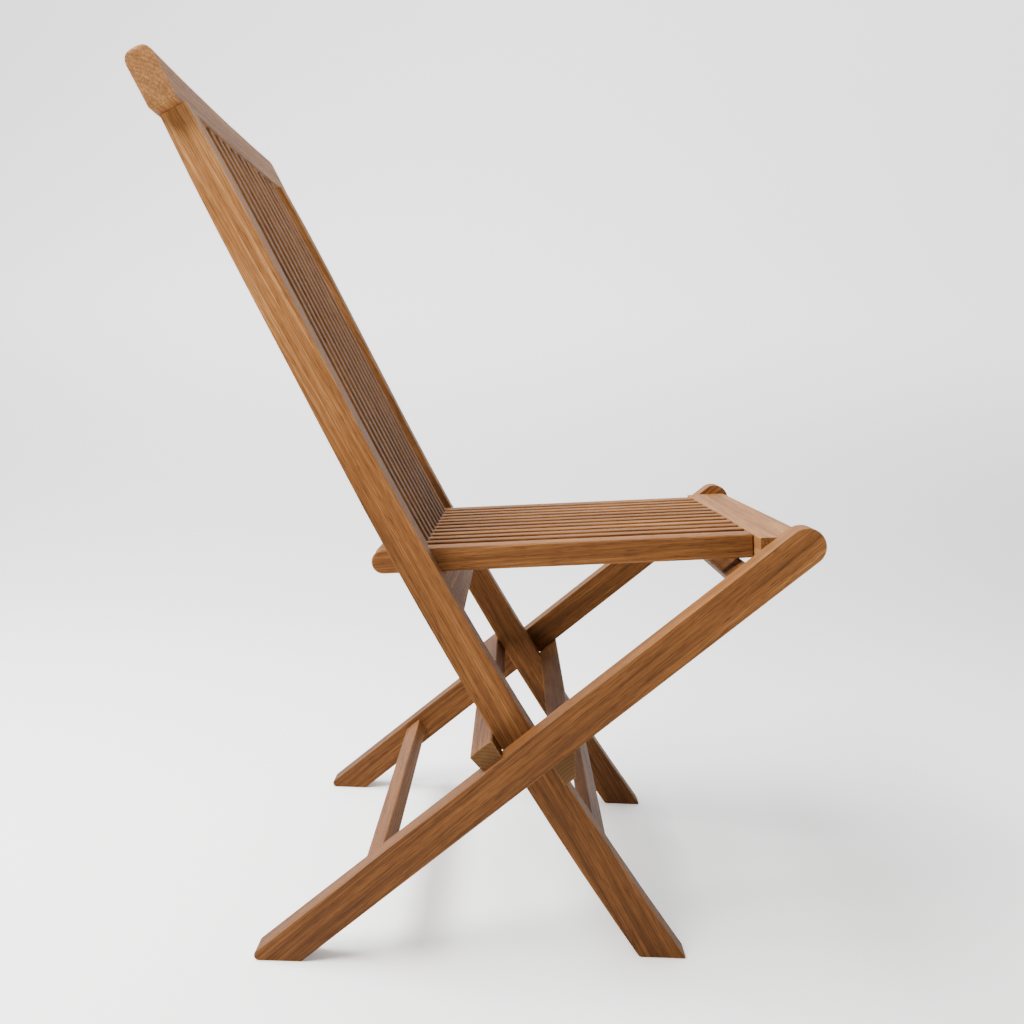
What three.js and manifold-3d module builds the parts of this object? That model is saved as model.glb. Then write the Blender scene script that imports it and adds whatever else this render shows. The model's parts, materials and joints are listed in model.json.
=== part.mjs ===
// Folding chair of slatted hardwood. Millimetres, +Z up, +X to the front, Y across.
// The origin is on the floor, under the middle of the whole. Left is the sitter's left, which is +Y.
//
// Two frames cross like scissors. The back frame leans back from its front feet, and the
// leg frame rises from its rear feet to carry the front of the seat. The seat's slats pass
// between the back's slats, so the seat slides up behind the back as the chair folds flat.
// Side shapes are drawn in the X-Z plane and extruded across Y.
import * as THREE from "three";
import Module from "manifold-3d";
import { mergeVertices } from "three/addons/utils/BufferGeometryUtils.js";

// ---- overall sizes ----
const overallWidth = 484;
const backHeight = 834;
const crossingX = 58;
const crossingHeight = 214.7;

// ---- clearances ----
const pieceGap = 0.3;
const slidingGap = 1.5;
const slatClearance = 1;
const bearingGap = 0.05;

// ---- legs ----
const legSlope = radians(40.8);
const legWidth = 37;
const legThickness = 28;
const legReach = 337.2;
const legTipLength = 27.5;

// ---- stiles ----
const stileThickness = 26;
const stileLean = radians(28.9);
const stileBendRadius = 4580;
const stileBendAboveCrossing = 305;
const stileFootWidth = 40;
const stileWaistWidth = 33.6;
const stileTopWidth = 28;
const stileTaper = 125;
const footRounding = 5;

// ---- back ----
const topRailHeight = 57;
const topRailThickness = 28.4;
const topRailOverhang = 20;
const topRailBow = 2;
const topRailBehindStile = 2.3;
const crestRounding = 13;
const topRailEndRounding = 6;
const slatWidth = 14;
const backSlatDepth = 17;
const backSlatSetback = 5;
const lowerRailHeight = 46;
const lowerRailThickness = 22;

// ---- seat ----
const seatRise = radians(4.6);
const seatThickness = 24.5;
const seatRailThickness = 26;
const seatRailLength = 390.6;
const seatSlatHeight = 20;
const crossbarDepth = 20;
const crossbarFrontRounding = 5;
const frontBoardDepth = 56;
const frontBoardBeyondPivot = 25;
const boardNoseRounding = 9;

// ---- stretchers and stop bars ----
const legStretcherWidth = 24.2;
const legStretcherThickness = 17;
const legStretcherLift = 4.1;
const rearStretcherReach = -193.4;
const upperStretcherReach = 282.6;
const frontStretcherWidth = 26;
const frontStretcherThickness = 16;
const frontStretcherBelowCrossing = 105.5;
const stopBarInset = 8;
const stopBarEdgeLength = 30;
const rearStopFoot = 24;
const rearStopHead = 28.5;
const rearStopHeight = 20.7;
const frontStopHead = 30;
const frontStopFoot = 14;
const frontStopHeight = 25;
const smallRounding = 2;
const wedgeRounding = 0.6;

// ---- hardware ----
const crossingPinRadius = 4;
const seatPinRadius = 3.5;
const pinBite = 16;
const washerRadius = 11;
const roundSides = 32;

// ---- planes across the chair, as distances from its middle ----
const legOuter = overallWidth / 2;
const legInner = legOuter - legThickness;
const stileOuter = legInner - slidingGap;
const stileInner = stileOuter - stileThickness;
const seatOuter = stileInner - slidingGap;
const seatInner = seatOuter - seatRailThickness;
const stopBarEnd = legOuter - stopBarInset;
const topRailEnd = stileOuter + topRailOverhang;
const slatPitch = 2 * (slatWidth + slatClearance);
const backSlatsPerSide = Math.floor((seatInner - slatClearance - slatWidth / 2) / slatPitch);

const wood = new THREE.MeshStandardMaterial({ color: 0xa9713f, roughness: 0.62, metalness: 0 });
const steel = new THREE.MeshStandardMaterial({ color: 0x8d8f92, roughness: 0.35, metalness: 1 });

const wasm = await Module();
wasm.setup();

const chair = new THREE.Group();

function radians(degrees) {
  return (degrees * Math.PI) / 180;
}

// ---- outlines in the X-Z plane ----

function point(x, z) {
  return new THREE.Vector2(x, z);
}

// A side frame has an origin and an angle: place(u, v) goes u along it and v to its left.
function sideFrame(origin, angle) {
  const along = point(Math.cos(angle), Math.sin(angle));
  const left = point(-along.y, along.x);
  return (u, v) => origin.clone().addScaledVector(along, u).addScaledVector(left, v);
}

function corner(at, radius = 0) {
  return { at, radius };
}

// Turns corners into an outline, with an arc at each corner that has a radius.
function rounded(corners, steps = 5) {
  return corners.flatMap(({ at, radius }, index) => {
    if (radius === 0) {
      return [at];
    }
    const back = corners.at(index - 1).at.clone().sub(at);
    const ahead = corners[(index + 1) % corners.length].at.clone().sub(at);
    const room = 0.49 * Math.min(back.length(), ahead.length());
    back.normalize();
    ahead.normalize();
    const halfAngle = Math.acos(back.dot(ahead)) / 2;
    const setback = Math.min(radius / Math.tan(halfAngle), room);
    const centreDistance = setback / Math.cos(halfAngle);
    const bisector = back.clone().add(ahead).normalize();
    const centre = at.clone().addScaledVector(bisector, centreDistance);
    const start = at.clone().addScaledVector(back, setback);
    const sweep = Math.sign(ahead.cross(back)) * (Math.PI - 2 * halfAngle);
    const arc = [];
    for (let step = 0; step <= steps; step += 1) {
      arc.push(start.clone().rotateAround(centre, (sweep * step) / steps));
    }
    return arc;
  });
}

// Keeps the part of an outline that is above the floor and rounds its two floor corners.
function standingOnFloor(outline) {
  const kept = [];
  outline.forEach((here, index) => {
    const next = outline[(index + 1) % outline.length];
    if (here.y > 0) {
      kept.push(corner(here));
    }
    if (here.y > 0 !== next.y > 0) {
      kept.push(corner(here.clone().lerp(next, here.y / (here.y - next.y)), footRounding));
    }
  });
  return rounded(kept);
}

function boxOutline(place, fromU, toU, fromV, toV, radius = smallRounding) {
  const corners = [
    corner(place(fromU, fromV), radius),
    corner(place(toU, fromV), radius),
    corner(place(toU, toV), radius),
    corner(place(fromU, toV), radius),
  ];
  return rounded(corners, 3);
}

// ---- solids ----

// Extrudes an outline across the chair between two distances from its middle.
function acrossChair(outline, fromY, toY, steps = 1) {
  const options = { depth: toY - fromY, steps, bevelEnabled: false };
  const geometry = new THREE.ExtrudeGeometry(new THREE.Shape(outline), options);
  geometry.rotateX(Math.PI / 2);
  geometry.translate(0, toY, 0);
  return geometry;
}

function roundAcross(radius, centre, fromY, toY) {
  const geometry = new THREE.CylinderGeometry(radius, radius, toY - fromY, roundSides);
  geometry.translate(centre.x, (fromY + toY) / 2, centre.y);
  return geometry;
}

function solid(geometry) {
  const bare = geometry.clone();
  bare.deleteAttribute("normal");
  bare.deleteAttribute("uv");
  const merged = mergeVertices(bare, 1e-4);
  const vertProperties = new Float32Array(merged.attributes.position.array);
  const triVerts = new Uint32Array(merged.index.array);
  return new wasm.Manifold(new wasm.Mesh({ numProp: 3, vertProperties, triVerts }));
}

function geometryOf(manifold) {
  const { vertProperties, triVerts } = manifold.getMesh();
  const geometry = new THREE.BufferGeometry();
  geometry.setAttribute("position", new THREE.BufferAttribute(vertProperties, 3));
  geometry.setIndex(new THREE.BufferAttribute(triVerts, 1));
  geometry.computeVertexNormals();
  return geometry;
}

function cutBy(geometry, tools) {
  return geometryOf(tools.reduce((rest, tool) => rest.subtract(solid(tool)), solid(geometry)));
}

function commonTo(geometry, other) {
  return geometryOf(solid(geometry).intersect(solid(other)));
}

function add(name, geometry, material = wood) {
  const mesh = new THREE.Mesh(geometry, material);
  mesh.name = name;
  chair.add(mesh);
}

// Calls make(side, sign) for the left piece, at +Y, and the right piece, at -Y.
function bothSides(make) {
  make("left", 1);
  make("right", -1);
}

// Orders two distances from the middle, taken on one side, as a rising pair of Y values.
function span(sign, inner, outer) {
  return sign > 0 ? [inner, outer] : [-outer, -inner];
}

// ---- shared geometry ----

const crossing = point(crossingX, crossingHeight);
const onLeg = sideFrame(crossing, legSlope);
const seatPivot = onLeg(legReach, 0);
const onSeat = sideFrame(seatPivot, seatRise);

const bendHeight = crossingHeight + stileBendAboveCrossing;

function leanAt(height) {
  const below = Math.max(bendHeight - height, 0);
  return Math.asin(Math.sin(stileLean) + below / stileBendRadius);
}

// The stile's centre line is an arc that passes the crossing, and straight above its bend.
function stileCentre(height) {
  const arcShift = (lean) => stileBendRadius * (Math.cos(stileLean) - Math.cos(lean));
  const bendX = crossingX - arcShift(leanAt(crossingHeight));
  const above = Math.max(height - bendHeight, 0);
  return point(bendX + arcShift(leanAt(height)) - above * Math.tan(stileLean), height);
}

function stileWidthAt(height) {
  const footShare = THREE.MathUtils.clamp(1 - height / bendHeight, 0, 1);
  const topShare = THREE.MathUtils.clamp(1 - (backHeight - height) / stileTaper, 0, 1);
  const lower = footShare * (stileFootWidth - stileWaistWidth);
  const upper = topShare * topShare * (stileTopWidth - stileWaistWidth);
  return stileWaistWidth + lower + upper;
}

// A point beside the stile, a distance behind its front face, square to its centre line.
function behindFront(height, distance) {
  const frame = sideFrame(stileCentre(height), Math.PI / 2 + leanAt(height));
  return frame(0, distance - stileWidthAt(height) / 2);
}

// The height reached by going a distance up the stile.
function upStile(height, distance) {
  return height + distance * Math.cos(leanAt(height));
}

function stationsBetween(low, high) {
  const count = Math.max(1, Math.ceil((high - low) / 55));
  return Array.from({ length: count + 1 }, (_, index) => low + ((high - low) * index) / count);
}

// The outline of a bar that follows the stile, between two distances behind its front face.
function alongStile(low, high, nearFront, nearRear) {
  const heights = stationsBetween(low, high);
  const front = heights.map((height) => behindFront(height, nearFront(height)));
  const rear = heights.map((height) => behindFront(height, nearRear(height)));
  return [...front, ...rear.reverse()];
}

// The lower rail's top front edge meets the underside of the seat.
function lowerRailTop() {
  const aboveSeat = (height) => {
    const edge = behindFront(height, 0).sub(seatPivot);
    const rise = edge.y * Math.cos(seatRise) - edge.x * Math.sin(seatRise);
    return rise + seatThickness / 2 + pieceGap;
  };
  let low = crossingHeight;
  let high = backHeight;
  for (let step = 0; step < 40; step += 1) {
    const middle = (low + high) / 2;
    if (aboveSeat(middle) < 0) {
      low = middle;
    } else {
      high = middle;
    }
  }
  return low;
}

const railTopHeight = lowerRailTop();
const crossingPinHole = crossingPinRadius + bearingGap;
const seatPinHole = seatPinRadius + bearingGap;

// ---- the back frame ----

function addStiles() {
  const below = -60;
  const outline = alongStile(below, backHeight, () => 0, stileWidthAt);
  const standing = standingOnFloor(outline);
  bothSides((side, sign) => {
    const body = acrossChair(standing, ...span(sign, stileInner, stileOuter));
    const hole = span(sign, stileOuter - pinBite, stileOuter + 1);
    add(`${side}_stile`, cutBy(body, [roundAcross(crossingPinHole, crossing, ...hole)]));
  });
}

// The top rail caps the stiles. It is bowed to the rear and rounded at its crest and ends.
function addTopRail() {
  const rearCorner = behindFront(backHeight, stileTopWidth);
  const place = sideFrame(rearCorner, Math.PI / 2 + stileLean);
  const rear = topRailBehindStile;
  const front = rear - topRailThickness;
  const section = rounded([
    corner(place(pieceGap, front), 3),
    corner(place(topRailHeight, front), crestRounding),
    corner(place(topRailHeight, rear), 0.95 * crestRounding),
    corner(place(pieceGap, rear), 3),
  ]);
  const bar = acrossChair(section, -topRailEnd, topRailEnd, 16);
  const positions = bar.attributes.position;
  for (let index = 0; index < positions.count; index += 1) {
    const share = positions.getY(index) / topRailEnd;
    const shift = topRailBow * (1 - share * share);
    positions.setX(index, positions.getX(index) - shift * Math.cos(stileLean));
    positions.setZ(index, positions.getZ(index) - shift * Math.sin(stileLean));
  }
  const face = rounded([
    corner(point(-topRailEnd, 0), smallRounding),
    corner(point(topRailEnd, 0), smallRounding),
    corner(point(topRailEnd, topRailHeight + 1), topRailEndRounding),
    corner(point(-topRailEnd, topRailHeight + 1), topRailEndRounding),
  ], 6);
  const reach = 3 * topRailThickness;
  const block = new THREE.ExtrudeGeometry(new THREE.Shape(face), { depth: reach, bevelEnabled: false });
  block.translate(0, 0, -reach / 2);
  const across = new THREE.Vector3(0, 1, 0);
  const up = new THREE.Vector3(-Math.sin(stileLean), 0, Math.cos(stileLean));
  const forward = new THREE.Vector3().crossVectors(across, up);
  const turn = new THREE.Matrix4().makeBasis(across, up, forward);
  block.applyMatrix4(turn.setPosition(rearCorner.x, 0, rearCorner.y));
  add("top_rail", commonTo(bar, block));
}

function addLowerRail() {
  const bottom = upStile(railTopHeight, -lowerRailHeight);
  const outline = alongStile(bottom, railTopHeight, () => 0, () => lowerRailThickness);
  const half = stileInner - pieceGap;
  add("lower_back_rail", acrossChair(outline, -half, half));
}

function addBackSlats() {
  const low = upStile(railTopHeight, pieceGap);
  const high = upStile(backHeight, -pieceGap);
  const rear = backSlatSetback + backSlatDepth;
  const outline = alongStile(low, high, () => backSlatSetback, () => rear);
  for (let index = -backSlatsPerSide; index <= backSlatsPerSide; index += 1) {
    const middle = index * slatPitch;
    const name = `back_slat_${index + backSlatsPerSide + 1}`;
    add(name, acrossChair(outline, middle - slatWidth / 2, middle + slatWidth / 2));
  }
}

function addFrontStretcher() {
  const low = crossingHeight - frontStretcherBelowCrossing;
  const high = upStile(low, frontStretcherWidth);
  const outline = alongStile(low, high, () => 0, () => frontStretcherThickness);
  const half = stileInner - pieceGap;
  add("front_stretcher", acrossChair(outline, -half, half));
}

// The stile's edge beside the crossing, as a line that stands clear of the stile. Side +1 is
// the edge behind the stile, followed upwards, and -1 the one in front, followed downwards.
function stileEdge(side) {
  const clear = (height) => {
    const distance = side > 0 ? stileWidthAt(height) + pieceGap : -pieceGap;
    return behindFront(height, distance);
  };
  const start = clear(crossingHeight);
  const end = clear(crossingHeight + side * stopBarEdgeLength);
  return { start, direction: end.sub(start).normalize() };
}

// The corner where that edge meets the edge of the leg.
function wedgeCorner(side) {
  const { start, direction } = stileEdge(side);
  const left = point(-Math.sin(legSlope), Math.cos(legSlope));
  const wanted = side * (legWidth / 2 + pieceGap);
  const travel = (wanted - start.clone().sub(crossing).dot(left)) / direction.dot(left);
  return start.clone().addScaledVector(direction, travel);
}

function moved(from, angle, distance) {
  return sideFrame(from, angle)(distance, 0);
}

// Two bars stop the frames when the chair is open. Both are fixed to the stiles.
function addStopBars() {
  const rearUp = stileEdge(1).direction.angle();
  const rearwards = legSlope + Math.PI;
  const rearFoot = wedgeCorner(1);
  const rearTop = moved(rearFoot, rearUp, rearStopHeight);
  const rear = rounded([
    corner(rearFoot, wedgeRounding),
    corner(rearTop, smallRounding),
    corner(moved(rearTop, rearwards, rearStopHead), smallRounding),
    corner(moved(rearFoot, rearwards, rearStopFoot), smallRounding),
  ], 3);
  add("rear_stop_bar", acrossChair(rear, -stopBarEnd, stopBarEnd));

  const frontDown = stileEdge(-1).direction.angle();
  const frontHead = wedgeCorner(-1);
  const frontBottom = moved(frontHead, frontDown, frontStopHeight);
  const front = rounded([
    corner(frontHead, wedgeRounding),
    corner(frontBottom, smallRounding),
    corner(moved(frontBottom, legSlope, frontStopFoot), smallRounding),
    corner(moved(frontHead, legSlope, frontStopHead), smallRounding),
  ], 3);
  add("front_stop_bar", acrossChair(front, -stopBarEnd, stopBarEnd));
}

// ---- the leg frame ----

function addLegs() {
  const half = legWidth / 2;
  const tip = legReach + legTipLength;
  const below = -(crossingHeight + 60) / Math.sin(legSlope);
  const outline = rounded([
    corner(onLeg(below, -half)),
    corner(onLeg(tip, -half), half),
    corner(onLeg(tip, half), half),
    corner(onLeg(below, half)),
  ], 10);
  const standing = standingOnFloor(outline);
  bothSides((side, sign) => {
    const body = acrossChair(standing, ...span(sign, legInner, legOuter));
    const hole = span(sign, legInner - 1, legInner + pinBite);
    const tools = [
      roundAcross(crossingPinHole, crossing, ...hole),
      roundAcross(seatPinHole, seatPivot, ...hole),
    ];
    add(`${side}_leg`, cutBy(body, tools));
  });
}

function addLegStretcher(name, reach) {
  const halfWidth = legStretcherWidth / 2;
  const low = legStretcherLift - legStretcherThickness / 2;
  const high = legStretcherLift + legStretcherThickness / 2;
  const outline = boxOutline(onLeg, reach - halfWidth, reach + halfWidth, low, high);
  const half = legInner - pieceGap;
  add(name, acrossChair(outline, -half, half));
}

function addWasher(name, centre, pinRadius, sign) {
  const [low, high] = span(sign, stileOuter + pieceGap, legInner - pieceGap);
  const plate = roundAcross(washerRadius, centre, low, high);
  const hole = roundAcross(pinRadius + pieceGap, centre, low - 1, high + 1);
  add(name, cutBy(plate, [hole]), steel);
}

// Each pin is blind: it ends inside the leg and inside the piece that turns on it.
function addHardware() {
  const inside = pinBite - pieceGap;
  bothSides((side, sign) => {
    const pinSpan = span(sign, stileOuter - inside, legInner + inside);
    add(`${side}_crossing_pin`, roundAcross(crossingPinRadius, crossing, ...pinSpan), steel);
    add(`${side}_seat_pin`, roundAcross(seatPinRadius, seatPivot, ...pinSpan), steel);
    addWasher(`${side}_crossing_washer`, crossing, crossingPinRadius, sign);
    addWasher(`${side}_seat_washer`, seatPivot, seatPinRadius, sign);
  });
}

// ---- the seat ----

const seatTop = seatThickness / 2;
const boardRear = frontBoardBeyondPivot - frontBoardDepth;
const railFront = boardRear - pieceGap;
const railRear = railFront - seatRailLength;
const crossbarFront = railRear + crossbarDepth;

function addSeatRails() {
  const outline = rounded([
    corner(onSeat(railFront, -seatTop)),
    corner(onSeat(railFront, seatTop)),
    corner(onSeat(railRear, seatTop), seatTop),
    corner(onSeat(railRear, -seatTop), seatTop),
  ], 8);
  bothSides((side, sign) => {
    add(`${side}_seat_rail`, acrossChair(outline, ...span(sign, seatInner, seatOuter)));
  });
}

// The crossbar ends inside the side rails, so it passes behind the back's slats.
function addSeatCrossbar() {
  const outline = rounded([
    corner(onSeat(crossbarFront, -seatTop), crossbarFrontRounding),
    corner(onSeat(crossbarFront, seatTop), crossbarFrontRounding),
    corner(onSeat(railRear, seatTop), seatTop),
    corner(onSeat(railRear, -seatTop), seatTop),
  ], 8);
  const half = seatInner - pieceGap;
  add("seat_crossbar", acrossChair(outline, -half, half));
}

function addSeatSlats() {
  const bottom = seatTop - seatSlatHeight;
  const outline = boxOutline(onSeat, crossbarFront + pieceGap, railFront, bottom, seatTop, 0);
  const count = 2 * backSlatsPerSide;
  for (let index = 0; index < count; index += 1) {
    const middle = (index - (count - 1) / 2) * slatPitch;
    const name = `seat_slat_${index + 1}`;
    add(name, acrossChair(outline, middle - slatWidth / 2, middle + slatWidth / 2));
  }
}

// The front board's ears reach past the side rails to the legs, and hold the seat pins.
function addFrontBoard() {
  const outline = rounded([
    corner(onSeat(boardRear, -seatTop)),
    corner(onSeat(frontBoardBeyondPivot, -seatTop), boardNoseRounding),
    corner(onSeat(frontBoardBeyondPivot, seatTop), boardNoseRounding),
    corner(onSeat(boardRear, seatTop)),
  ], 6);
  const body = acrossChair(outline, -stileOuter, stileOuter);
  const holes = [1, -1].map((sign) => {
    const depth = span(sign, stileOuter - pinBite, stileOuter + 1);
    return roundAcross(seatPinHole, seatPivot, ...depth);
  });
  add("front_board", cutBy(body, holes));
}

addStiles();
addTopRail();
addLowerRail();
addBackSlats();
addFrontStretcher();
addStopBars();
addLegs();
addLegStretcher("rear_stretcher", rearStretcherReach);
addLegStretcher("upper_stretcher", upperStretcherReach);
addHardware();
addSeatRails();
addSeatCrossbar();
addSeatSlats();
addFrontBoard();

export default chair;
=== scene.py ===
"""Looks of the slatted folding chair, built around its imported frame.

Each wooden piece is a copy of its CAD node with its edges eased, so it keeps the frame's
place and size. Its grain runs along its own length: every vertex carries a place inside
an imaginary log, and one solid wood material reads it, so faces, edges and ends agree.
"""

import json
import math
import random

import bmesh
import bpy
import numpy as np
from mathutils import Matrix, Vector


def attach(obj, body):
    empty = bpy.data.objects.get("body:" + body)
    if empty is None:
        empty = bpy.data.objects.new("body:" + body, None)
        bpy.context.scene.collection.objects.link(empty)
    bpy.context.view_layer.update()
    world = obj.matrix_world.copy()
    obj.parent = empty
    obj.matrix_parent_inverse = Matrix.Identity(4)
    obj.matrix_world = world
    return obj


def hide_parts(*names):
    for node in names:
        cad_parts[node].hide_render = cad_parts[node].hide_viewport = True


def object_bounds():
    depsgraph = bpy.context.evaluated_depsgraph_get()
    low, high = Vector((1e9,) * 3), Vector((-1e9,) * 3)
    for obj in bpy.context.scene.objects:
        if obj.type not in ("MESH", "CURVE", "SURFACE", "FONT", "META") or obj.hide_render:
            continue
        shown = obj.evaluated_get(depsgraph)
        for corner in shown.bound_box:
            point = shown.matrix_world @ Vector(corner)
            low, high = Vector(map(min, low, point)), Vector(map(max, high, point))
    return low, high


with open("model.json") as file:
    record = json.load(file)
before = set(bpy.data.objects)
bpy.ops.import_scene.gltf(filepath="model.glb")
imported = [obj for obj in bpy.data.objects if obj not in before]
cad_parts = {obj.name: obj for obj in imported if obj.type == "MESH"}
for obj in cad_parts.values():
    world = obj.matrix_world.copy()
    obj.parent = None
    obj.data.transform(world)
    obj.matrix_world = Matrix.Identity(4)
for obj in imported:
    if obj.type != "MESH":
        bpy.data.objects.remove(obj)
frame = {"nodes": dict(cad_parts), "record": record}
cad_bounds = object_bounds()

WOOD_SLOT = "oiled_wood"
STEEL_SLOT = "pivot_steel"

# The camera stands at the chair's right side, a little above the seat. Its place is in
# metres, its lens and sensor in millimetres and its angles in radians.
CAMERA_PLACE = (0.0311, -1.2083, 0.5787)
CAMERA_LENS = 35.68
CAMERA_SENSOR = 36
CAMERA_YAW = 0.003328
CAMERA_PITCH = 0.116925
CAMERA_ROLL = -0.035742

# Two round lamps, in metres and watts, and the strength of the light from all round.
KEY_PLACE = (-1.0, -0.85, 1.65)
KEY_TARGET = (0, 0, 0.35)
KEY_SIZE = 0.8
KEY_POWER = 62
KEY_COLOUR = (1.0, 0.97, 0.93)
OVERHEAD_PLACE = (-1.3, 0.1, 2.7)
OVERHEAD_TARGET = (0, 0, 0)
OVERHEAD_SIZE = 2.0
OVERHEAD_POWER = 215
OVERHEAD_COLOUR = (1.0, 1.0, 1.0)
ROOM_STRENGTH = 0.2

# The white sweep under and behind the chair, in metres. It glows more with height, from
# the floor up to the height of full glow.
SWEEP_WHITE = 0.94
FLOOR_GLOW = 0.22
WALL_GLOW = 1.3
FULL_GLOW_HEIGHT = 1.0
FLOOR_GAP = 0.0003
SWEEP_FRONT = 14.0
SWEEP_START = 1.2
SWEEP_RADIUS = 2.4
SWEEP_STEPS = 24
SWEEP_TOP = 9.0
SWEEP_HALF_WIDTH = 14.0

# Eased edges. An edge sharper than SHARP_ANGLE is rounded, and faces that meet at less
# than SMOOTH_ANGLE are shaded as one. Distances are in metres.
JOIN_DISTANCE = 1e-6
FLAT_ANGLE = math.radians(0.35)
SHARP_ANGLE = math.radians(28)
SMOOTH_ANGLE = math.radians(42)
EDGE_SEGMENTS = 3
EDGE_RADIUS = {
    "stile": 0.0013,
    "leg": 0.0013,
    "slat": 0.0013,
    "rail": 0.0018,
    "board": 0.0018,
    "stretcher": 0.0014,
    "bar": 0.0016,
}

# How light a piece is, by its name without any number: 0 is average, 1 about the palest
# and -1 about the darkest. A piece that isn't listed is average. Part of this is painted
# light and shade: the back slats and top rail are darkened as painted shade on their
# forward faces, and the legs are darker and the stiles lighter as painted shade low down
# and painted light high up.
PIECE_TONE_AND_PAINTED_LIGHT = {
    "left_stile": 0.05,
    "right_stile": 0.25,
    "left_leg": -0.1,
    "right_leg": -0.15,
    "top_rail": -0.1,
    "front_board": 0.7,
    "back_slat": -0.45,
    "rear_stop_bar": -0.45,
    "front_stop_bar": -0.9,
    "upper_stretcher": -0.6,
    "rear_stretcher": 0.25,
}
TONE_SPREAD = 0.22
# Painted light and shade: the wood is made paler towards the top of the chair and darker
# towards the floor, as the light falls from above. Tone gained for each metre of height
# above the middle height that follows, in metres.
PAINTED_LIGHT_RISE = 2.1
PAINTED_LIGHT_MIDDLE = 0.5

# How a piece lies in its log: its greatest tilt, in radians, and in metres how far it may
# start along the log and how near and far the log's heart is.
LOG_TILT = 0.03
LOG_LENGTH = 9
HEART_NEAR = 0.03
HEART_FAR = 0.085


def body_of_nodes():
    bodies = frame["record"]["behaviour"]["bodies"]
    return {node: body for body, nodes in bodies.items() for node in nodes}


def slot_of_nodes():
    return {entry["node"]: entry["material_slot"] for entry in frame["record"]["subparts"]}


# ---- node trees ----


class Tree:
    """Short calls for building a material's nodes."""

    def __init__(self, name):
        self.material = bpy.data.materials.new(name)
        self.material.use_nodes = True
        self.nodes = self.material.node_tree.nodes
        self.links = self.material.node_tree.links
        self.shader = self.nodes["Principled BSDF"]

    def put(self, socket, value):
        if isinstance(value, bpy.types.NodeSocket):
            self.links.new(value, socket)
        else:
            socket.default_value = value

    def attribute(self, name):
        node = self.nodes.new("ShaderNodeAttribute")
        node.attribute_name = name
        return node

    def math(self, operation, first, second=0.0, third=0.0):
        node = self.nodes.new("ShaderNodeMath")
        node.operation = operation
        self.put(node.inputs[0], first)
        self.put(node.inputs[1], second)
        self.put(node.inputs[2], third)
        return node.outputs[0]

    def stretched(self, vector, scale):
        node = self.nodes.new("ShaderNodeVectorMath")
        node.operation = "MULTIPLY"
        self.put(node.inputs[0], vector)
        node.inputs[1].default_value = scale
        return node.outputs[0]

    def noise(self, vector, detail=2.0, roughness=0.5):
        node = self.nodes.new("ShaderNodeTexNoise")
        self.put(node.inputs["Vector"], vector)
        node.inputs["Scale"].default_value = 1.0
        node.inputs["Detail"].default_value = detail
        node.inputs["Roughness"].default_value = roughness
        return node.outputs["Fac"]

    def ranged(self, value, from_low, from_high, to_low=0.0, to_high=1.0):
        node = self.nodes.new("ShaderNodeMapRange")
        node.interpolation_type = "SMOOTHSTEP"
        self.put(node.inputs["Value"], value)
        node.inputs["From Min"].default_value = from_low
        node.inputs["From Max"].default_value = from_high
        node.inputs["To Min"].default_value = to_low
        node.inputs["To Max"].default_value = to_high
        return node.outputs["Result"]

    def ramp(self, value, stops):
        node = self.nodes.new("ShaderNodeValToRGB")
        self.put(node.inputs["Fac"], value)
        elements = node.color_ramp.elements
        while len(elements) < len(stops):
            elements.new(0.5)
        for element, (place, colour) in zip(elements, stops):
            element.position = place
            element.color = (*colour, 1.0)
        return node.outputs["Color"]

    def mix(self, share, first, second):
        node = self.nodes.new("ShaderNodeMix")
        node.data_type = "RGBA"
        self.put(node.inputs["Factor"], share)
        self.put(node.inputs[6], first)
        self.put(node.inputs[7], second)
        return node.outputs[2]

    def bump(self, height, distance, strength):
        node = self.nodes.new("ShaderNodeBump")
        self.put(node.inputs["Height"], height)
        node.inputs["Distance"].default_value = distance
        node.inputs["Strength"].default_value = strength
        return node.outputs["Normal"]


# The wood's colours, from the palest to the darkest, and that of the end grain.
PALE = (0.50, 0.25, 0.092)
HONEY = (0.183, 0.072, 0.0205)
BROWN = (0.075, 0.0285, 0.0085)
UMBER = (0.03, 0.0105, 0.003)
END_BROWN = (0.105, 0.055, 0.021)

# Growth rings, in metres: how far apart they are and how far they wander.
RING_SPACING = 0.0038
RING_WANDER = 0.011

# How many times each pattern changes in a metre: along the grain, and twice across it.
WANDER_FINENESS = (3.2, 16, 16)
BAND_FINENESS = (2.1, 70, 70)
STREAK_FINENESS = (5, 260, 260)
FIBRE_FINENESS = (9, 760, 760)
PORE_FINENESS = (55, 2300, 2300)

# How much each pattern, and the piece's tone with its painted light and shade, lightens the wood.
# Late wood darkens it.
BAND_SHARE = 0.42
STREAK_SHARE = 0.42
FIBRE_SHARE = 0.6
LATE_WOOD_SHARE = -0.055
TONE_AND_PAINTED_LIGHT_SHARE = 0.2
MIDDLE_SHADE = 0.56

PORE_DARKNESS = 0.6
END_GRAIN_SHARE = 0.45
# Painted highlights along the edges: how wide they are, in metres, and the least and most that
# they are paled.
EDGE_HIGHLIGHT_RADIUS = 0.0022
EDGE_HIGHLIGHT_LEAST = 0.06
EDGE_HIGHLIGHT_MOST = 0.38
WOOD_RELIEF = 0.00035
WOOD_GLOSS = 0.08


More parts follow.
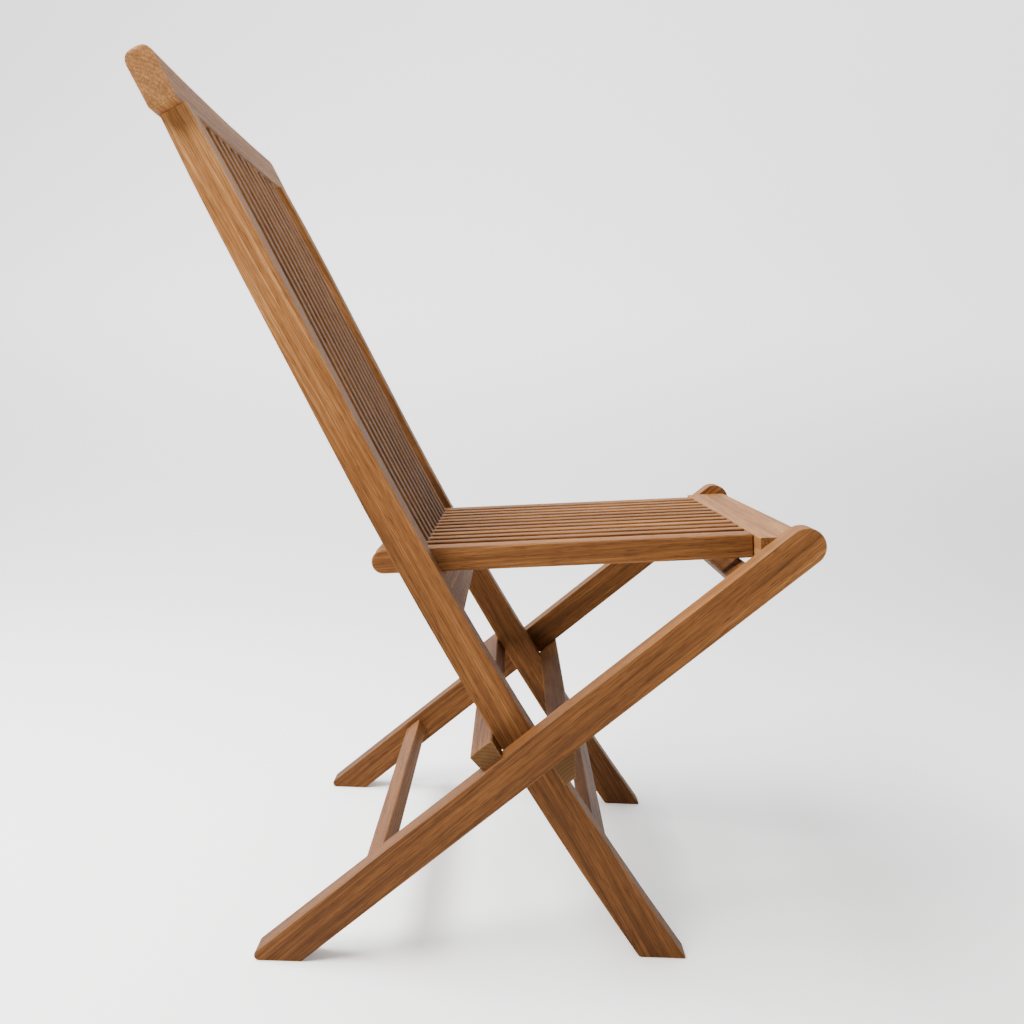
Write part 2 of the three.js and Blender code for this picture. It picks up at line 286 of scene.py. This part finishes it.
def wood_material():
    """Oiled hardwood: growth rings, broad bands, fibres, pores, end grain and painted highlights
    on the edges.
    """
    tree = Tree("oiled_hardwood")
    grain = tree.attribute("grain").outputs["Vector"]
    # The tone attribute holds each piece's own tone together with painted light that makes the
    # wood paler with height.
    tone = tree.attribute("tone").outputs["Fac"]
    end = tree.attribute("end").outputs["Fac"]

    wander = tree.noise(tree.stretched(grain, WANDER_FINENESS), 2.0)
    split = tree.nodes.new("ShaderNodeSeparateXYZ")
    tree.put(split.inputs[0], grain)
    square = tree.math("MULTIPLY", split.outputs["Y"], split.outputs["Y"])
    square = tree.math("MULTIPLY_ADD", split.outputs["Z"], split.outputs["Z"], square)
    radius = tree.math("SQRT", square)
    radius = tree.math("MULTIPLY_ADD", wander, RING_WANDER, radius)
    ring = tree.math("FRACT", tree.math("DIVIDE", radius, RING_SPACING))
    late = tree.math("MULTIPLY", tree.ranged(ring, 0.25, 0.86), tree.ranged(ring, 1.0, 0.9))

    bands = tree.noise(tree.stretched(grain, BAND_FINENESS), 3.0, 0.55)
    fibres = tree.noise(tree.stretched(grain, FIBRE_FINENESS), 3.0, 0.6)
    streaks = tree.noise(tree.stretched(grain, STREAK_FINENESS), 2.0, 0.6)
    pores = tree.noise(tree.stretched(grain, PORE_FINENESS), 1.0)

    shade = tree.math("MULTIPLY", tree.math("SUBTRACT", bands, 0.5), BAND_SHARE)
    shade = tree.math("MULTIPLY_ADD", tree.math("SUBTRACT", streaks, 0.5), STREAK_SHARE, shade)
    shade = tree.math("MULTIPLY_ADD", tree.math("SUBTRACT", fibres, 0.5), FIBRE_SHARE, shade)
    shade = tree.math("MULTIPLY_ADD", late, LATE_WOOD_SHARE, shade)
    shade = tree.math("MULTIPLY_ADD", tone, TONE_AND_PAINTED_LIGHT_SHARE, shade)
    shade = tree.math("ADD", shade, MIDDLE_SHADE)
    colour = tree.ramp(shade, [(0.0, UMBER), (0.28, BROWN), (0.58, HONEY), (1.0, PALE)])

    pore_mask = tree.ranged(pores, 0.56, 0.66)
    pore_share = tree.math("MULTIPLY", pore_mask, PORE_DARKNESS)
    colour = tree.mix(pore_share, colour, (*UMBER, 1.0))

    end_share = tree.math("MULTIPLY_ADD", tone, -0.3, END_GRAIN_SHARE)
    end_share = tree.math("MULTIPLY", tree.ranged(end, 0.75, 0.97), end_share)
    end_colour = tree.mix(tree.math("MULTIPLY", late, 0.3), (*END_BROWN, 1.0), (*UMBER, 1.0))
    colour = tree.mix(end_share, colour, end_colour)

    # Painted highlight: every edge, found where the bevel normal turns away from the face's
    # normal, is paled towards the palest wood colour.
    bevel = tree.nodes.new("ShaderNodeBevel")
    bevel.samples = 4
    bevel.inputs["Radius"].default_value = EDGE_HIGHLIGHT_RADIUS
    geometry = tree.nodes.new("ShaderNodeNewGeometry")
    dot = tree.nodes.new("ShaderNodeVectorMath")
    dot.operation = "DOT_PRODUCT"
    tree.put(dot.inputs[0], bevel.outputs["Normal"])
    tree.put(dot.inputs[1], geometry.outputs["Normal"])
    edge_highlight = tree.ranged(dot.outputs["Value"], 0.995, 0.9)
    edge_highlight = tree.math("MULTIPLY", edge_highlight, tree.ranged(streaks, 0.3, 0.7, EDGE_HIGHLIGHT_LEAST, EDGE_HIGHLIGHT_MOST))
    colour = tree.mix(edge_highlight, colour, (*PALE, 1.0))

    roughness = tree.ranged(fibres, 0.25, 0.75, 0.5, 0.68)
    roughness = tree.math("MULTIPLY_ADD", end_share, 0.25, roughness)
    height = tree.math("MULTIPLY_ADD", pore_mask, -0.8, tree.math("MULTIPLY", fibres, 0.6))
    height = tree.math("MULTIPLY_ADD", late, 0.25, height)
    tree.put(tree.shader.inputs["Base Color"], colour)
    tree.put(tree.shader.inputs["Roughness"], roughness)
    tree.put(tree.shader.inputs["Normal"], tree.bump(height, WOOD_RELIEF, 0.55))
    tree.shader.inputs["Specular IOR Level"].default_value = WOOD_GLOSS
    return tree.material


def steel_material():
    """Plain turned steel, with fine rings round the pin."""
    tree = Tree("turned_steel")
    place = tree.nodes.new("ShaderNodeTexCoord").outputs["Object"]
    lines = tree.noise(tree.stretched(place, (300, 5200, 300)), 2.0)
    tint = tree.ramp(lines, [(0.3, (0.36, 0.36, 0.37)), (0.7, (0.56, 0.56, 0.55))])
    tree.put(tree.shader.inputs["Base Color"], tint)
    tree.put(tree.shader.inputs["Roughness"], tree.ranged(lines, 0.2, 0.8, 0.28, 0.45))
    tree.put(tree.shader.inputs["Normal"], tree.bump(lines, 0.00005, 0.4))
    tree.shader.inputs["Metallic"].default_value = 1.0
    return tree.material


# ---- wooden pieces ----


def edge_radius(node):
    return next(radius for word, radius in EDGE_RADIUS.items() if word in node)


def eased_copy(node):
    """A copy of a CAD node's mesh with flat faces joined and its sharp edges rounded."""
    mesh = frame["nodes"][node].data.copy()
    work = bmesh.new()
    work.from_mesh(mesh)
    bmesh.ops.remove_doubles(work, verts=work.verts, dist=JOIN_DISTANCE)
    bmesh.ops.dissolve_limit(work, angle_limit=FLAT_ANGLE, verts=work.verts, edges=work.edges)
    sharp = [edge for edge in work.edges if edge.calc_face_angle(0.0) > SHARP_ANGLE]
    bmesh.ops.bevel(
        work,
        geom=sharp,
        offset=edge_radius(node),
        offset_type="OFFSET",
        segments=EDGE_SEGMENTS,
        profile=0.5,
        affect="EDGES",
        clamp_overlap=True,
    )
    work.to_mesh(mesh)
    work.free()
    return mesh


def log_frame(points, chance):
    """How a piece lies in its log: its middle, its axes, a small tilt and the log's heart."""
    centre = points.mean(axis=0)
    _, _, axes = np.linalg.svd(points - centre, full_matrices=False)
    axes = axes.copy()
    if np.linalg.det(axes) < 0:
        axes[2] = -axes[2]
    tilt = Matrix.Rotation(chance.uniform(-LOG_TILT, LOG_TILT), 3, "Z")
    tilt = tilt @ Matrix.Rotation(chance.uniform(-LOG_TILT, LOG_TILT), 3, "Y")
    angle = chance.uniform(0, 2 * math.pi)
    away = chance.uniform(HEART_NEAR, HEART_FAR)
    along = chance.uniform(0, LOG_LENGTH)
    heart = np.array([along, away * math.cos(angle), away * math.sin(angle)])
    return centre, axes, np.array(tilt), heart


def give_grain(mesh, chance, tone):
    """Gives a mesh the places in its log, its tone with painted light that grows with height, and
    which faces show end grain.
    """
    points = np.empty(3 * len(mesh.vertices))
    mesh.vertices.foreach_get("co", points)
    points = points.reshape(-1, 3)
    centre, axes, tilt, heart = log_frame(points, chance)
    places = (points - centre) @ axes.T @ tilt.T + heart
    grain = mesh.attributes.new("grain", "FLOAT_VECTOR", "POINT")
    grain.data.foreach_set("vector", places.ravel())
    # Painted light: the tone is raised with height, so the wood is paler high up and darker low
    # down.
    tone_and_painted_light = mesh.attributes.new("tone", "FLOAT", "POINT")
    tone_and_painted_light.data.foreach_set("value", tone + PAINTED_LIGHT_RISE * (points[:, 2] - PAINTED_LIGHT_MIDDLE))
    long_axis = Vector(axes[0])
    ends = [abs(face.normal.dot(long_axis)) for face in mesh.polygons]
    end = mesh.attributes.new("end", "FLOAT", "FACE")
    end.data.foreach_set("value", ends)


def wooden_piece(node, body, material, chance):
    mesh = eased_copy(node)
    kind = node.rstrip("_0123456789")
    tone = PIECE_TONE_AND_PAINTED_LIGHT.get(kind, 0.0) + chance.uniform(-TONE_SPREAD, TONE_SPREAD)
    give_grain(mesh, chance, tone)
    mesh.materials.clear()
    mesh.materials.append(material)
    mesh.shade_smooth()
    mesh.set_sharp_from_angle(angle=SMOOTH_ANGLE)
    piece = bpy.data.objects.new(f"{node}_wood", mesh)
    bpy.context.scene.collection.objects.link(piece)
    weighted = piece.modifiers.new("even_shading", "WEIGHTED_NORMAL")
    weighted.keep_sharp = True
    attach(piece, body)
    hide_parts(node)


def build_wood():
    bodies = body_of_nodes()
    slots = slot_of_nodes()
    material = wood_material()
    for node in sorted(bodies):
        if slots[node] == WOOD_SLOT:
            wooden_piece(node, bodies[node], material, random.Random(node))


def finish_steel():
    material = steel_material()
    for node, slot in slot_of_nodes().items():
        if slot == STEEL_SLOT:
            for holder in frame["nodes"][node].material_slots:
                holder.material = material


# ---- stage ----


def studio_material():
    tree = Tree("white_sweep")
    tree.shader.inputs["Base Color"].default_value = (SWEEP_WHITE, SWEEP_WHITE, SWEEP_WHITE, 1.0)
    tree.shader.inputs["Roughness"].default_value = 0.9
    tree.shader.inputs["Specular IOR Level"].default_value = 0.0
    tree.shader.inputs["Emission Color"].default_value = (1.0, 1.0, 1.0, 1.0)
    geometry = tree.nodes.new("ShaderNodeNewGeometry")
    split = tree.nodes.new("ShaderNodeSeparateXYZ")
    tree.put(split.inputs[0], geometry.outputs["Position"])
    height = split.outputs["Z"]
    glow = tree.ranged(height, 0.0, FULL_GLOW_HEIGHT, FLOOR_GLOW, WALL_GLOW)
    tree.put(tree.shader.inputs["Emission Strength"], glow)
    return tree.material


def add_studio():
    """One white sweep: the floor curves up into the wall behind the chair."""
    floor_height = cad_bounds[0][2] - FLOOR_GAP
    profile = [(-SWEEP_FRONT, floor_height)]
    for step in range(SWEEP_STEPS + 1):
        angle = math.pi / 2 * step / SWEEP_STEPS
        behind = SWEEP_START + SWEEP_RADIUS * math.sin(angle)
        profile.append((behind, floor_height + SWEEP_RADIUS * (1 - math.cos(angle))))
    profile.append((SWEEP_START + SWEEP_RADIUS, SWEEP_TOP))
    corners = [(side, y, z) for y, z in profile for side in (-SWEEP_HALF_WIDTH, SWEEP_HALF_WIDTH)]
    firsts = range(0, len(corners) - 2, 2)
    faces = [(first, first + 1, first + 3, first + 2) for first in firsts]
    mesh = bpy.data.meshes.new("studio_sweep")
    mesh.from_pydata(corners, [], faces)
    mesh.shade_smooth()
    mesh.materials.append(studio_material())
    sweep = bpy.data.objects.new("studio_sweep", mesh)
    bpy.context.scene.collection.objects.link(sweep)


def add_area_light(name, place, target, size, power, colour):
    light = bpy.data.lights.new(name, "AREA")
    light.shape = "DISK"
    light.size = size
    light.energy = power
    light.color = colour
    lamp = bpy.data.objects.new(name, light)
    lamp.location = place
    lamp.rotation_euler = (Vector(target) - Vector(place)).to_track_quat("-Z", "Y").to_euler()
    bpy.context.scene.collection.objects.link(lamp)


def add_world():
    world = bpy.data.worlds.new("studio")
    world.use_nodes = True
    background = world.node_tree.nodes["Background"]
    background.inputs["Color"].default_value = (1.0, 1.0, 1.0, 1.0)
    background.inputs["Strength"].default_value = ROOM_STRENGTH
    bpy.context.scene.world = world


def add_lights():
    add_area_light("key", KEY_PLACE, KEY_TARGET, KEY_SIZE, KEY_POWER, KEY_COLOUR)
    add_area_light(
        "overhead",
        OVERHEAD_PLACE,
        OVERHEAD_TARGET,
        OVERHEAD_SIZE,
        OVERHEAD_POWER,
        OVERHEAD_COLOUR,
    )


def add_camera():
    forward = Vector((
        math.sin(CAMERA_YAW) * math.cos(CAMERA_PITCH),
        math.cos(CAMERA_YAW) * math.cos(CAMERA_PITCH),
        -math.sin(CAMERA_PITCH),
    ))
    level_right = Vector((math.cos(CAMERA_YAW), -math.sin(CAMERA_YAW), 0))
    level_down = forward.cross(level_right)
    right = level_right * math.cos(CAMERA_ROLL) + level_down * math.sin(CAMERA_ROLL)
    down = level_down * math.cos(CAMERA_ROLL) - level_right * math.sin(CAMERA_ROLL)
    camera = bpy.data.objects.new("camera", bpy.data.cameras.new("camera"))
    camera.data.lens = CAMERA_LENS
    camera.data.sensor_width = CAMERA_SENSOR
    turn = Matrix((right, -down, -forward)).transposed().to_4x4()
    camera.matrix_world = Matrix.Translation(CAMERA_PLACE) @ turn
    bpy.context.scene.collection.objects.link(camera)
    bpy.context.scene.camera = camera


add_camera()
build_wood()
finish_steel()
add_studio()
add_world()
add_lights()
